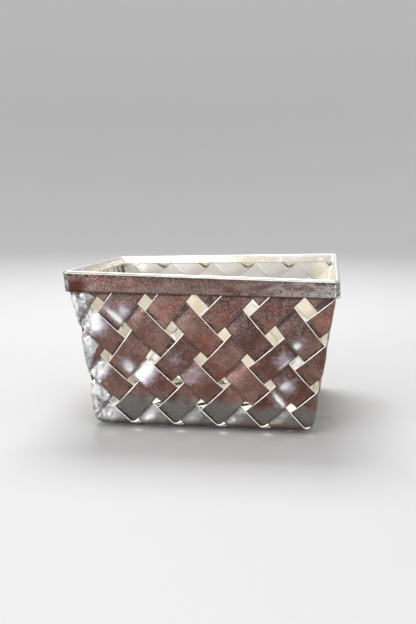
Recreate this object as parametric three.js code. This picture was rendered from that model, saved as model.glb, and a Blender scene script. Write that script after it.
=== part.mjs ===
// Silver-plated berry basket: an open square basket, plaited on the bias from flat metal strips.
// Every strip climbs one wall, crosses the base and climbs the next wall, passing over and under the
// strips of the other direction. A channel of folded sheet, bent round four corners, holds the strip ends.
// Millimetres, +Z up, front towards -Y. The origin is the middle of the base, on the surface it rests on.

import * as THREE from 'three';

// Driving dimensions of the weave
const unitsPerSide = 5;       // weave diamonds along each edge of the base
const wallRows = 6;           // half diamonds from the base edge up to the strip ends
const stripWidth = 11.8;
const stripGap = 2.77;        // between neighbouring strips in the base
const stripSheet = 0.5;
const weaveClearance = 0.14;  // air between two strips at the edges of their crossing
const crown = 0.45;           // extra bulge of a strip over the middle of a crossing
const wallLean = 8.6;         // degrees out from upright
const rowProportion = 1.065;  // height of a row along the wall, as a share of half a diamond's width
const edgeRadius = 1.8;       // of the weave's middle surface, at base edges and upright corners
const baseEdgeLift = 2.1;     // the base edge above the flat middle of the base
const flatHalf = 18;          // half width of the flat middle of the base

// Driving dimensions of the rim channel
const rimSheet = 0.6;
const rimClearance = 0.15;    // between the channel and the strips inside it
const rimOuterDrop = 8.3;     // from the top of the fold to the lower edge of the outer flange
const rimInnerDrop = 4.4;     // from the top of the fold to the lower edge of the inner flange
const rimSeam = 0.3;          // gap between the two ends of the channel
const rimSeamTurn = 28;       // degrees into the front right corner at which those ends meet
const rimTightestBend = 0.2;  // smallest corner radius of the inner flange

// Facets
const crownShare = 1 / 3;     // the part of a crossing's half width that stays at full crown
const cornerFacets = 4;       // of each rim corner
const foldFacets = 6;         // of the rim's rounded top

// Derived sizes
const lean = THREE.MathUtils.degToRad(wallLean);
const pitch = stripWidth + stripGap;
const baseUnit = pitch * Math.SQRT2;                      // one weave diamond along the base edge
const baseHalf = unitsPerSide * baseUnit / 2;
const layer = (stripSheet + weaveClearance) / 2;          // a strip's middle, off the weave's middle surface
const weaveHalf = layer + stripSheet / 2;                 // half the thickness of the flattened weave
const floorHeight = weaveHalf + crown;                    // middle surface over the flat of the base
const edgeHeight = floorHeight + baseEdgeLift;            // middle surface at the base edge
const unitGrowth = 2 * Math.sin(lean) / unitsPerSide;     // a diamond's growth per millimetre up the wall
const baseSpan = stripWidth / (2 * pitch);                // half a strip, in pitches, in the base
const wallNarrowing = Math.SQRT1_2 * Math.hypot(1, rowProportion) / rowProportion;
const endLift = 0.1;                                      // strip ends above the centre of the rim's fold

// Sizes of the wall at row k, counted in half diamonds above the base edge
const slopeAt = (k) => (baseUnit / unitGrowth) * (Math.exp(unitGrowth * rowProportion * k / 2) - 1);
const halfAt = (k) => baseHalf + slopeAt(k) * Math.sin(lean);
const heightAt = (k) => edgeHeight + slopeAt(k) * Math.cos(lean);
const unitAt = (k) => 2 * halfAt(k) / unitsPerSide;
const spanAt = (k) => baseSpan * (baseUnit / unitAt(k)) * (1 - (1 - wallNarrowing) * Math.min(1, k));

const silver = (name, color, roughness) =>
  new THREE.MeshStandardMaterial({ name, color, roughness, metalness: 1 });
const stripMaterial = silver('aged silver plate, strips', 0x94786f, 0.28);
const rimMaterial = silver('aged silver plate, rim', 0x8c756d, 0.34);

// How far the base hangs below its edge at x, y: a flat middle that curls up to the edge
function bellyDepth(x, y) {
  const sink = (v) => 1 - Math.max(0, (Math.abs(v) - flatHalf) / (baseHalf - flatHalf)) ** 2;
  return baseEdgeLift * Math.max(0, sink(x)) * Math.max(0, sink(y));
}

// The planes of the basket, moved inwards by the edge radius: two walls and the base, for x, y > 0
const insetPlanes = [
  new THREE.Vector3(Math.cos(lean), 0, -Math.sin(lean)),
  new THREE.Vector3(0, Math.cos(lean), -Math.sin(lean)),
  new THREE.Vector3(0, 0, -1),
].map((normal) => ({
  normal,
  limit: normal.dot(new THREE.Vector3(baseHalf, baseHalf, edgeHeight)) - edgeRadius,
}));

// Moves a point of the sharp-edged basket onto the rounded one, and gives the outward normal there.
// The rounded surface is one edge radius outside the inset planes' core, towards the point.
function roundedPoint(sharp) {
  const side = new THREE.Vector3(Math.sign(sharp.x) || 1, Math.sign(sharp.y) || 1, 1);
  const folded = sharp.clone().multiply(side);
  const pushes = insetPlanes.map(() => 0);
  const core = new THREE.Vector3();
  for (let pass = 0; pass < 12; pass++) {
    insetPlanes.forEach((plane, i) => {
      core.copy(folded);
      insetPlanes.forEach((other, j) => {
        if (j !== i) core.addScaledVector(other.normal, -pushes[j]);
      });
      pushes[i] = Math.max(0, plane.normal.dot(core) - plane.limit);
    });
  }
  core.copy(folded);
  insetPlanes.forEach((plane, i) => core.addScaledVector(plane.normal, -pushes[i]));
  const normal = folded.sub(core).normalize();
  const position = core.addScaledVector(normal, edgeRadius);
  return { position: position.multiply(side), normal: normal.multiply(side) };
}

// A place on the walls: t counts diamonds along the perimeter from the front left corner, with the
// front wall from 0 to unitsPerSide, and k counts half diamonds up.
function wallPoint(t, k) {
  const wall = Math.floor(t / unitsPerSide);
  const along = t - wall * unitsPerSide;
  const half = halfAt(k);
  const sharp = new THREE.Vector3(-half + along * unitAt(k), -half, heightAt(k));
  const turn = new THREE.Vector3(0, 0, 1);
  return roundedPoint(sharp.applyAxisAngle(turn, wall * Math.PI / 2));
}

// A place on the base: x and y count diamonds from the front left corner
function basePoint(x, y) {
  const place = new THREE.Vector3(x, y, 0).multiplyScalar(baseUnit);
  place.add(new THREE.Vector3(-baseHalf, -baseHalf, edgeHeight));
  const surface = roundedPoint(place);
  const depth = bellyDepth(place.x, place.y);
  const step = 0.01;
  const slopeX = (bellyDepth(place.x + step, place.y) - bellyDepth(place.x - step, place.y)) / (2 * step);
  const slopeY = (bellyDepth(place.x, place.y + step) - bellyDepth(place.x, place.y - step)) / (2 * step);
  surface.position.z -= depth;
  surface.normal.add(new THREE.Vector3(-slopeX, -slopeY, 0)).normalize();
  return surface;
}

// A strip's own coordinates: s runs along it in pitches and l across it, with s = 0 where it crosses the
// front base edge, s < 0 up the front wall, and s = turns where it crosses the left base edge.
class StripFrame {
  constructor(index) {
    this.start = index + 0.5;      // where it crosses the front base edge, in diamonds
    this.turns = 2 * index + 1;    // pitches across the base
    this.first = -wallRows;
    this.last = this.turns + wallRows;
  }

  rowOf(s, l) {
    return Math.max(0, -(s + l), s - l - this.turns);
  }

  surface(s, l) {
    const x = this.start + (l - s) / 2;
    const y = (s + l) / 2;
    if (s + l < 0) return wallPoint(x, -(s + l));
    if (s - l > this.turns) return wallPoint(-y, s - l - this.turns);
    return basePoint(x, y);
  }

  // The strip's edge beside s, on the side given as -1 or 1
  edge(s, side) {
    let span = baseSpan;
    for (let pass = 0; pass < 8; pass++) span = spanAt(this.rowOf(s, side * span));
    return { s, l: side * span };
  }

  // The corner of the crossing centred at s = c, before (-1) or after (1) its centre
  corner(c, along, side, extra = 0) {
    let span = baseSpan;
    for (let pass = 0; pass < 8; pass++) span = spanAt(this.rowOf(c + along * span, side * span));
    return this.edge(c + along * span + extra, side);
  }
}

// Which way the fold line of a crossing runs over the strip: 1 where s + l stays the same along it,
// -1 where s - l does, and 0 where the crossing lies flat.
function foldDirection(frame, c) {
  if (c === 0 || c === 2 * unitsPerSide) return 1;
  if (c === frame.turns || c === frame.turns - 2 * unitsPerSide) return -1;
  return 0;
}

// Half the width of a rounded fold, in pitches. The rest of the gap beside the strip is left for its
// change of side, and at a corner of the base two folds share one gap.
function foldReach(frame, c) {
  const row = frame.rowOf(c, 0);
  const onBaseEdge = c === 0 || c === frame.turns;
  const turn = onBaseEdge ? Math.PI / 2 - lean : Math.acos(Math.sin(lean) ** 2);
  const reach = edgeRadius * Math.tan(turn / 2) / (unitAt(row) / 2);
  const room = 1 - 2 * spanAt(row);
  const shared = foldDirection(frame, c - 1) || foldDirection(frame, c + 1);
  return Math.min(reach, (shared ? 0.3 : 0.6) * room);
}

// The cross cuts of a strip, from one end to the other. Each cut has its left and right end point and the
// height of the strip over the weave's middle surface. The strip is outside at odd crossings.
function stripCuts(frame) {
  const cuts = [];
  for (let c = frame.first; c <= frame.last; c++) {
    const sign = c % 2 ? 1 : -1;
    const add = (left, right, height) => cuts.push({ left, right, height: sign * height });
    const before = (side, extra) => frame.corner(c, -1, side, extra);
    const after = (side, extra) => frame.corner(c, 1, side, extra);
    const fold = foldDirection(frame, c);
    if (c === frame.first) {
      add(after(-1), before(1), layer);
      add(after(-1), after(1), layer);
    } else if (c === frame.last) {
      add(before(-1), before(1), layer);
      add(before(-1), after(1), layer);
    } else if (fold === 0) {
      add(before(-1), before(1), layer);
      for (const way of [-1, 1]) {
        const s = c + way * spanAt(frame.rowOf(c, 0)) * crownShare;
        add(frame.edge(s, -1), frame.edge(s, 1), layer + crown);
      }
      add(after(-1), after(1), layer);
    } else {
      const reach = foldReach(frame, c);
      const near = (extra) => (fold > 0 ? before(1, extra) : before(-1, extra));
      const far = (extra) => (fold > 0 ? after(-1, extra) : after(1, extra));
      const slanted = (nearExtra, farExtra) => (fold > 0
        ? add(far(farExtra), near(nearExtra), layer)
        : add(near(nearExtra), far(farExtra), layer));
      if (fold > 0) add(before(-1), near(-reach), layer);
      else add(near(-reach), before(1), layer);
      slanted(-reach, -reach);
      slanted(0, 0);
      slanted(reach, reach);
      if (fold > 0) add(far(reach), after(1), layer);
      else add(after(-1), far(reach), layer);
    }
  }
  return cuts;
}

// Gives a flat-triangulated sheet its thickness: an outer and an inner skin, joined along every open edge
function thicken(points, triangles, thickness) {
  const positions = [];
  for (const side of [1, -1]) {
    for (const { position, normal, height } of points) {
      positions.push(...position.clone().addScaledVector(normal, height + side * thickness / 2));
    }
  }
  const inner = points.length;
  const indices = [];
  const edges = new Map();
  for (const [a, b, c] of triangles) {
    indices.push(a, b, c, inner + a, inner + c, inner + b);
    for (const [p, q] of [[a, b], [b, c], [c, a]]) {
      if (!edges.delete(`${q},${p}`)) edges.set(`${p},${q}`, [p, q]);
    }
  }
  for (const [p, q] of edges.values()) {
    indices.push(p, inner + p, inner + q, p, inner + q, q);
  }
  const geometry = new THREE.BufferGeometry();
  geometry.setAttribute('position', new THREE.Float32BufferAttribute(positions, 3));
  geometry.setIndex(indices);
  return geometry;
}

function stripGeometry(index) {
  const frame = new StripFrame(index);
  const points = [];
  const places = new Map();
  const pointAt = ({ s, l }, height) => {
    const key = `${s.toFixed(6)},${l.toFixed(6)}`;
    if (!places.has(key)) {
      places.set(key, points.length);
      points.push({ ...frame.surface(s, l), height });
    }
    return places.get(key);
  };
  const ladder = stripCuts(frame).map((cut) => [pointAt(cut.left, cut.height), pointAt(cut.right, cut.height)]);
  const triangles = [];
  for (let i = 1; i < ladder.length; i++) {
    const [left, right] = ladder[i - 1];
    const [nextLeft, nextRight] = ladder[i];
    if (left !== nextLeft) triangles.push([left, nextLeft, right]);
    if (right !== nextRight) triangles.push([right, nextLeft, nextRight]);
  }
  return thicken(points, triangles, stripSheet);
}

// The rim's section, as points with their distance out from the basket's middle, their height, and
// their distance out from the weave's middle surface, which sets their radius at the corners.
function rimSection() {
  const wallHalf = halfAt(wallRows);
  const foldCentre = heightAt(wallRows) - endLift;
  const inside = weaveHalf + rimClearance;
  const outside = inside + rimSheet;
  const top = foldCentre + outside;
  const bottoms = { outer: top - rimOuterDrop, inner: top - rimInnerDrop };
  const onInnerFlange = (offset, z) => ({
    out: wallHalf + (z - heightAt(wallRows)) * Math.tan(lean) - offset / Math.cos(lean),
    z,
    offset: -offset,
  });
  const onFold = (radius, angle) => ({
    out: wallHalf + radius * Math.cos(angle),
    z: foldCentre + radius * Math.sin(angle),
    offset: radius * Math.cos(angle),
  });
  const section = [
    { out: wallHalf + inside, z: bottoms.outer, offset: inside },
    { out: wallHalf + outside, z: bottoms.outer, offset: outside },
  ];
  for (let i = 0; i <= foldFacets; i++) section.push(onFold(outside, Math.PI * i / foldFacets));
  section.push(onInnerFlange(outside, bottoms.inner));
  section.push(onInnerFlange(inside, bottoms.inner));
  for (let i = foldFacets; i >= 0; i--) section.push(onFold(inside, Math.PI * i / foldFacets));
  return section;
}

// The directions in which the rim's section stands as it goes round, from one side of the seam to the
// other: each corner is a fan about its own centre, and the straight sides lie between the fans.
function rimStations() {
  const quarter = Math.PI / 2;
  const seam = THREE.MathUtils.degToRad(rimSeamTurn);
  const frontRight = -quarter;    // the front wall faces this way
  const angles = [];
  for (let corner = 0; corner <= 4; corner++) {
    for (let i = 0; i <= cornerFacets; i++) {
      const turn = quarter * i / cornerFacets;
      const beforeSeam = corner === 0 && turn <= seam;
      const afterSeam = corner === 4 && turn >= seam;
      if (!beforeSeam && !afterSeam) angles.push({ corner, turn: frontRight + corner * quarter + turn });
    }
  }
  return [
    { corner: 0, turn: frontRight + seam, shift: 1 },
    ...angles,
    { corner: 4, turn: frontRight + 4 * quarter + seam, shift: -1 },
  ];
}

function rimGeometry() {
  const section = rimSection();
  const stations = rimStations();
  const positions = [];
  for (const { corner, turn, shift = 0 } of stations) {
    const diagonal = new THREE.Vector2(1, -1).rotateAround(new THREE.Vector2(), corner * Math.PI / 2);
    const facing = new THREE.Vector2(Math.cos(turn), Math.sin(turn));
    const sideways = new THREE.Vector2(-facing.y, facing.x);
    for (const { out, z, offset } of section) {
      const radius = Math.max(edgeRadius + offset, rimTightestBend);
      const place = diagonal.clone().multiplyScalar(out - radius).addScaledVector(facing, radius);
      place.addScaledVector(sideways, shift * rimSeam / 2);
      positions.push(place.x, place.y, z);
    }
  }
  const count = section.length;
  const indices = [];
  for (let i = 0; i < stations.length - 1; i++) {
    for (let j = 0; j < count; j++) {
      const a = i * count + j;
      const b = i * count + (j + 1) % count;
      indices.push(a, a + count, b + count, a, b + count, b);
    }
  }
  const outline = section.map(({ out, z }) => new THREE.Vector2(out, z));
  const last = (stations.length - 1) * count;
  for (const [a, b, c] of THREE.ShapeUtils.triangulateShape(outline, [])) {
    indices.push(a, b, c, last + a, last + c, last + b);
  }
  const geometry = new THREE.BufferGeometry();
  geometry.setAttribute('position', new THREE.Float32BufferAttribute(positions, 3));
  geometry.setIndex(indices);
  return geometry;
}

function namedMesh(name, geometry, material) {
  const mesh = new THREE.Mesh(geometry, material);
  mesh.name = name;
  return mesh;
}

// The strips that cut across one corner of the base, shortest first. The four corners are alike.
function cornerStrips(corner, quarterTurns) {
  const group = new THREE.Group();
  for (let index = 0; index < unitsPerSide; index++) {
    group.add(namedMesh(`strip_${corner}_${index + 1}`, stripGeometry(index), stripMaterial));
  }
  group.rotation.z = quarterTurns * Math.PI / 2;
  return group;
}

const basket = new THREE.Group();
['front_left', 'front_right', 'back_right', 'back_left'].forEach((corner, quarterTurns) => {
  basket.add(cornerStrips(corner, quarterTurns));
});
basket.add(namedMesh('rim_channel', rimGeometry(), rimMaterial));

export default basket;
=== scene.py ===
# %% [markdown]
# # A plaited silver-plated berry basket
# Old berry baskets were plaited from thin wood splints. This one copies them in metal: twenty flat strips
# cross each other at 45 degrees to the edges, and a folded channel of sheet grips their ends. The finish is
# what makes it: silver plate gone brown in the middle of the walls and still bright on every edge.
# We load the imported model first. It fixes every size, and what is built below leaves its box by less than
# 3 mm.

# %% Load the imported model
import math

import bpy
import numpy as np
from mathutils import Matrix, Vector


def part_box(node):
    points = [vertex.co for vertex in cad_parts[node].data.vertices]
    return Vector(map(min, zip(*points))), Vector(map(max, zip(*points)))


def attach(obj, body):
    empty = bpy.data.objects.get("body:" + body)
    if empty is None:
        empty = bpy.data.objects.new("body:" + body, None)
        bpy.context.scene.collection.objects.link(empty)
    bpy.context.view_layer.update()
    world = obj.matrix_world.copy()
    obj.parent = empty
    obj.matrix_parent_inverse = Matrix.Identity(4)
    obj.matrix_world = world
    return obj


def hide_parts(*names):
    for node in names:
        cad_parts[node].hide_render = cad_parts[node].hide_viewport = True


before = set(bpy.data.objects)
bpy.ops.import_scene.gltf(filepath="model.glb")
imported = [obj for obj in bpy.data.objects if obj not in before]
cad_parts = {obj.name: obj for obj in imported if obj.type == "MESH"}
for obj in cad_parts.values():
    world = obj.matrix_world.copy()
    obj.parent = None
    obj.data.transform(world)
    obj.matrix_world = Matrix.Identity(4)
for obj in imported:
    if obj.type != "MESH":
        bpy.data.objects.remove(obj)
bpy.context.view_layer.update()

MM = 0.001
_, rim_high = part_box("rim_channel")

# %% [markdown]
# ## The camera
# A close view from just above the rim, a little to the right of the front wall's middle. The distance was
# found from the perspective of the weave: the holes of the front wall shrink towards the base and the
# sides, and only one distance and one focal length give all of them their places. The picture is upright, so
# Blender counts the sensor's 36 mm along its height.

# %% Camera
CAMERA_PLACE = (0.0580, -0.4700, 0.1208)
CAMERA_TURN = -7.52
CAMERA_DIP = 8.46
CAMERA_TILT = 0.28
FOCAL_PIXELS = 907
PICTURE_HEIGHT = 624

camera_data = bpy.data.cameras.new("camera")
camera_data.sensor_width = 36
camera_data.lens = FOCAL_PIXELS / PICTURE_HEIGHT * camera_data.sensor_width
camera_data.clip_start = 0.01
camera_data.clip_end = 50
camera = bpy.data.objects.new("camera", camera_data)
placed = Matrix.Translation(CAMERA_PLACE)
# a camera looks straight down until it is raised by 90 degrees, and a turn to the right is a negative one
for degrees, axis in ((-CAMERA_TURN, "Z"), (90 - CAMERA_DIP, "X"), (CAMERA_TILT, "Z")):
    placed = placed @ Matrix.Rotation(math.radians(degrees), 4, axis)
camera.matrix_world = placed
bpy.context.scene.collection.objects.link(camera)
bpy.context.scene.camera = camera
print("lens in mm:", round(camera_data.lens, 1))

# %% [markdown]
# ## Sizes of the weave
# The weave is a grid of diamonds: five along each side of the base, and three up each wall. One strip width
# and one gap make a pitch, and everything else follows. The walls lean out, so the diamonds grow with every
# row: row k counts half diamonds above the base edge, and its height comes from adding up rows that each
# are a little larger than the one below.

# %% Sizes in mm
SIDE_UNITS = 5
WALL_ROWS = 6
STRIP_WIDTH = 11.8
STRIP_GAP = 2.77
STRIP_SHEET = 0.5
WALL_LEAN = math.radians(8.6)
ROW_RISE = 1.065
EDGE_RADIUS = 1.6
BASE_EDGE_LIFT = 2.1
FLAT_HALF = 18
MIDDLE_OF_FLAT = 1.02

PITCH = STRIP_WIDTH + STRIP_GAP
BASE_UNIT = PITCH * math.sqrt(2)
BASE_HALF = SIDE_UNITS * BASE_UNIT / 2
EDGE_HEIGHT = MIDDLE_OF_FLAT + BASE_EDGE_LIFT
UNIT_GROWTH = 2 * math.sin(WALL_LEAN) / SIDE_UNITS
BASE_SPAN = STRIP_WIDTH / (2 * PITCH)
WALL_NARROWING = math.hypot(1, ROW_RISE) / (math.sqrt(2) * ROW_RISE)


def slope_at(row):
    """Distance up the wall: the sum of rows that grow in step with the wall's width."""
    return BASE_UNIT / UNIT_GROWTH * (np.exp(UNIT_GROWTH * ROW_RISE * row / 2) - 1)


def half_at(row):
    """Half the width: the base's, plus the distance up the wall times the sine of its lean."""
    return BASE_HALF + slope_at(row) * math.sin(WALL_LEAN)


def height_at(row):
    """The base edge's height, plus the distance up the wall times the cosine of its lean."""
    return EDGE_HEIGHT + slope_at(row) * math.cos(WALL_LEAN)


def unit_at(row):
    """A diamond's width: the whole width, shared out evenly."""
    return 2 * half_at(row) / SIDE_UNITS


def span_at(row):
    """Half a strip's width as a share of the pitch. The strip keeps its width while the pitch grows."""
    return BASE_SPAN * BASE_UNIT / unit_at(row) * (1 - (1 - WALL_NARROWING) * np.minimum(1, row))


print("width at the last row in mm:", round(2 * half_at(WALL_ROWS), 1))

# %% [markdown]
# ## From a flat grid to the basket
# Each strip is bent over several edges, at 45 degrees to every one of them. Bending a mesh that way is hard,
# so we never bend anything: we work out where each point of a flat strip ends up. First comes the place on a
# sharp-edged basket. Then the edges are rounded all at once: shrink the basket by the edge radius, find the
# closest point of that smaller core, and step back out by the radius. Flat parts don't change, edges
# turn into arcs, and corners into parts of a ball. The step's direction is also the surface's normal.

# %% Rounded basket surface
PLANES = np.array([
    [math.cos(WALL_LEAN), 0, -math.sin(WALL_LEAN)],
    [0, math.cos(WALL_LEAN), -math.sin(WALL_LEAN)],
    [0, 0, -1],
])
PLANE_LIMITS = PLANES @ np.array([BASE_HALF, BASE_HALF, EDGE_HEIGHT]) - EDGE_RADIUS
PROJECTION_PASSES = 12
SLOPE_STEP = 0.01


def rounded(points):
    """Places and outward normals of points (n, 3) once the edges are rounded: closest point of the core,
    plus the edge radius along the way back. The closest point comes from pushing in from one plane at a
    time, over and over, until no plane pushes any more."""
    side = np.where(points < 0, -1.0, 1.0)
    side[:, 2] = 1
    folded = points * side
    pushes = np.zeros((len(points), 3))
    for _ in range(PROJECTION_PASSES):
        for i in range(3):
            pushes[:, i] = 0
            core = folded - pushes @ PLANES
            pushes[:, i] = np.maximum(0, core @ PLANES[i] - PLANE_LIMITS[i])
    core = folded - pushes @ PLANES
    normals = folded - core
    normals /= np.linalg.norm(normals, axis=1, keepdims=True)
    return (core + EDGE_RADIUS * normals) * side, normals * side


def belly(x, y):
    """How far the base hangs below its edge: all of it over the flat middle, and from there to the edge
    1 - (share of the way)^2, both along x and along y."""
    def sink(v):
        past = np.clip((np.abs(v) - FLAT_HALF) / (BASE_HALF - FLAT_HALF), 0, 1)
        return 1 - past ** 2
    return BASE_EDGE_LIFT * sink(x) * sink(y)


def turned(points, quarters):
    """Points (n, 3) after some quarter turns about the upright axis."""
    cos, sin = np.cos(quarters * math.pi / 2), np.sin(quarters * math.pi / 2)
    x, y, z = points.T
    return np.stack([x * cos - y * sin, x * sin + y * cos, z], 1)


def row_at(index, along, across):
    """The larger of the rows above the front base edge and above the left one, and 0 on the base."""
    return np.maximum(0, np.maximum(-(along + across), along - across - (2 * index + 1)))


def strip_surface(index, along, across):
    """Places and normals on the weave's middle surface for points of one strip that crosses the front left
    corner of the base. along and across are in pitches, and along is 0 on the front base edge. Turned by 45
    degrees they are x and y on the base. On the walls, the distance counted round the base gives the wall and
    the place along it. The belly is taken off the height, and its slopes tilt the normals."""
    row = row_at(index, along, across)
    base_x = index + 0.5 + (across - along) / 2
    base_y = (along + across) / 2
    perimeter = np.where(base_y < 0, base_x, -base_y)
    wall = np.floor(perimeter / SIDE_UNITS)
    x = -half_at(row) + (perimeter - wall * SIDE_UNITS) * unit_at(row)
    on_wall = turned(np.stack([x, -half_at(row), height_at(row)], 1), wall)
    on_base = np.stack([base_x, base_y, 0 * row], 1) * BASE_UNIT + [-BASE_HALF, -BASE_HALF, EDGE_HEIGHT]
    is_base = row == 0
    sharp = np.where(is_base[:, None], on_base, on_wall)
    places, normals = rounded(sharp)
    x, y = sharp[:, 0], sharp[:, 1]
    slope_x = (belly(x + SLOPE_STEP, y) - belly(x - SLOPE_STEP, y)) / (2 * SLOPE_STEP)
    slope_y = (belly(x, y + SLOPE_STEP) - belly(x, y - SLOPE_STEP)) / (2 * SLOPE_STEP)
    places[:, 2] -= belly(x, y) * is_base
    normals[:, 0] -= slope_x * is_base
    normals[:, 1] -= slope_y * is_base
    return places, normals / np.linalg.norm(normals, axis=1, keepdims=True)


# %% [markdown]
# ## A handmade thing
# The sizes above describe a perfect basket. The real one was plaited by hand: strips sag half way up a wall,
# and their ends lean to one side before the rim grips them, so no two holes are alike. Every strip rises
# twice, so round the base twenty ends rise to the right and twenty to the left, as seen from outside. We
# number both kinds, and give each end a sag and a lean in mm, positive towards the base. Those on the front
# wall were judged, and the others are random. On the back wall all ends sit a little lower in the rim.

# %% Sagging and leaning strips
LEAN_START = 2.0
RANDOM_LEAN = 0.7
RANDOM_SAG = 0.5
BACK_WALL_SINK = 1.8
FRONT_LIFT = -0.3
AROUND = 4 * SIDE_UNITS
TO_THE_RIGHT, TO_THE_LEFT = 0, 1
FRONT_NUMBERS = {TO_THE_RIGHT: (17, 18, 19, 0, 1, 2, 3, 4), TO_THE_LEFT: (0, 1, 2, 3, 4, 5, 6, 7)}
BACK_NUMBERS = {TO_THE_RIGHT: (7, 8, 9, 10, 11), TO_THE_LEFT: (13, 14, 15, 16, 17)}
FRONT_LEANS = {17: 0.6, 18: -1.4, 19: -3.1, 0: 0.1, 1: -1.5, 2: 2.0, 3: 0.5, 4: 0.0}
FRONT_SAGS = {0: 0.4, 1: 0.8, 2: 1.4, 3: 1.2, 4: 1.1, 5: 1.9, 6: 1.2, 7: 0.4}
SEED = 7

seeded = np.random.default_rng(SEED)
lean = seeded.uniform(-RANDOM_LEAN, RANDOM_LEAN, (2, AROUND))
sag = seeded.uniform(-RANDOM_SAG, RANDOM_SAG, (2, AROUND))
for way, numbers in BACK_NUMBERS.items():
    lean[way, numbers] += BACK_WALL_SINK
lean[TO_THE_RIGHT, list(FRONT_LEANS)] = list(FRONT_LEANS.values())
lean[TO_THE_LEFT, FRONT_NUMBERS[TO_THE_LEFT]] = FRONT_LIFT
sag[TO_THE_RIGHT, FRONT_NUMBERS[TO_THE_RIGHT]] = 0
sag[TO_THE_LEFT, list(FRONT_SAGS)] = list(FRONT_SAGS.values())
print("largest lean and sag in mm:", np.abs(lean).max().round(1), np.abs(sag).max().round(1))


def smooth_step(low, high, value):
    """0 below low, 1 above high, and between them 3t^2 - 2t^3, which starts and ends level."""
    share = np.clip((value - low) / (high - low), 0, 1)
    return share * share * (3 - 2 * share)


def sideways(way, number, row):
    """How far a strip lies out of its place, in pitches: its lean near the rim, and half a sine of sag."""
    number = number % AROUND
    hump = np.sin(math.pi * np.clip(row / WALL_ROWS, 0, 1))
    return (lean[way, number] * smooth_step(LEAN_START, WALL_ROWS, row) + sag[way, number] * hump) / PITCH


# %% [markdown]
# ## The weave's ups and downs
# A strip goes over one neighbour and under the next, so its height over the middle surface is a wave that
# changes sign at every crossing, and the two strips of a crossing lie on opposite sides. A second cosine,
# three times as fast, flattens the tops and steepens the passages, as stiff sheet does. The wave is just high
# enough for the two to clear each other where their edges meet, and a little more, because real strips
# spring out into pillows. Where a neighbour leans, its crossing moves along this strip, and the wave with it.

# %% Height of a strip
FLATTENING = -0.11
HALF_THE_AIR = 0.05
TOUCH = STRIP_SHEET / 2 + HALF_THE_AIR
PILLOW = 1.3
DOME = 0.10
PRESS_START = 5.2
PRESS_END = 5.7
DENT_DEPTH = 0.11
DENT_START_PER_STRIP = 2.4
DENT_START_PER_CORNER = 1.7
# length in mm, share, slant, and how many times the strip's own start
DENT_WAVES = [(13.0, 0.75, 1.1, 1), (4.81, 0.25, 2.3, 2)]


def wave_phase(corner, index, along):
    """Pitches along the strip, counted so that every whole number is the middle of a crossing. How far the
    crossed strips lie out of place, taken at whole rows and joined by straight lines, shifts the count."""
    turns = 2 * index + 1
    rows = np.arange(WALL_ROWS + 2)
    crossed_first = sideways(TO_THE_LEFT, SIDE_UNITS * corner + index + rows, rows)
    crossed_second = sideways(TO_THE_RIGHT, SIDE_UNITS * corner - 1 - index - rows, rows)
    first = -np.interp(-along, rows, crossed_first)
    second = np.interp(along - turns, rows, crossed_second)
    return along + np.where(along < turns / 2, first, second)


def wave_shape(turn):
    """A cosine and a second one three times as fast, both zero half way between two crossings."""
    return np.cos(math.pi * turn) + FLATTENING * np.cos(3 * math.pi * turn)


def dents(corner, index, along, across):
    """Shallow hollows left by handling, from -1 to 1: a long sine along the strip and a short one, added up
    by their shares. Both lie slantwise, and start at another angle on each strip."""
    start = DENT_START_PER_STRIP * index + DENT_START_PER_CORNER * corner
    waves = [
        share * np.sin(2 * math.pi * along * PITCH / length + times * start + slant * across)
        for length, share, slant, times in DENT_WAVES
    ]
    return sum(waves)


def strip_height(phase, across_share, row, dent):
    """Height over the middle surface: a flattened wave, domed across, dented, and pressed flat in the rim."""
    crest = PILLOW * TOUCH / wave_shape(span_at(row))
    pressed = smooth_step(PRESS_START, PRESS_END, row)
    crest = crest * (1 - pressed) + TOUCH * pressed
    shape = wave_shape(phase)
    hollow = DENT_DEPTH * dent * np.maximum(0, -shape) * (1 - across_share ** 2)
    return -crest * shape - (DOME * across_share ** 2 + hollow) * (1 - pressed)


print("a crown's height over the middle surface in mm:", strip_height(1, 0, 0, 0).round(2))

# %% [markdown]
# ## Knocked out of true
# The whole basket has been knocked about as well: its four upright edges have moved by a mm or more, other
# ways at the base, half way up and at the rim, and the walls bend after them. Every mesh goes through one
# function at the end. It spreads the moves of the four edges evenly over the walls between them, and joins
# the three levels by a parabola.

# %% Bent basket
RIM_TOP = rim_high.z / MM
RIM_HALF = rim_high.x / MM
FRONT_LEFT_MOVES = [[-1.2, 0, 0], [1.4, 0, 0], [-0.5, 0, 0]]
BACK_LEFT_MOVES = [[0, 0, 0], [-0.5, 0, -0.7], [-3.0, 0, -2.9]]
FRONT_RIGHT_MOVES = [[0.8, 0, 0], [0.7, 0, 0], [0.2, 0, -0.7]]
BACK_RIGHT_MOVES = [[0, 0, 0], [0, 0, 0.2], [0, 0, 1.0]]
EDGE_MOVES = np.array([[FRONT_LEFT_MOVES, BACK_LEFT_MOVES], [FRONT_RIGHT_MOVES, BACK_RIGHT_MOVES]])


def blend_corners(x, y, corners):
    """Mixes four corner values, [left or right][front or back], in proportion to the place between them."""
    right_share = np.clip(x / RIM_HALF / 2 + 0.5, 0, 1)[..., None]
    back_share = np.clip(y / RIM_HALF / 2 + 0.5, 0, 1)[..., None]
    left = corners[0, 0] * (1 - back_share) + corners[0, 1] * back_share
    right = corners[1, 0] * (1 - back_share) + corners[1, 1] * back_share
    return left * (1 - right_share) + right * right_share


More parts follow.
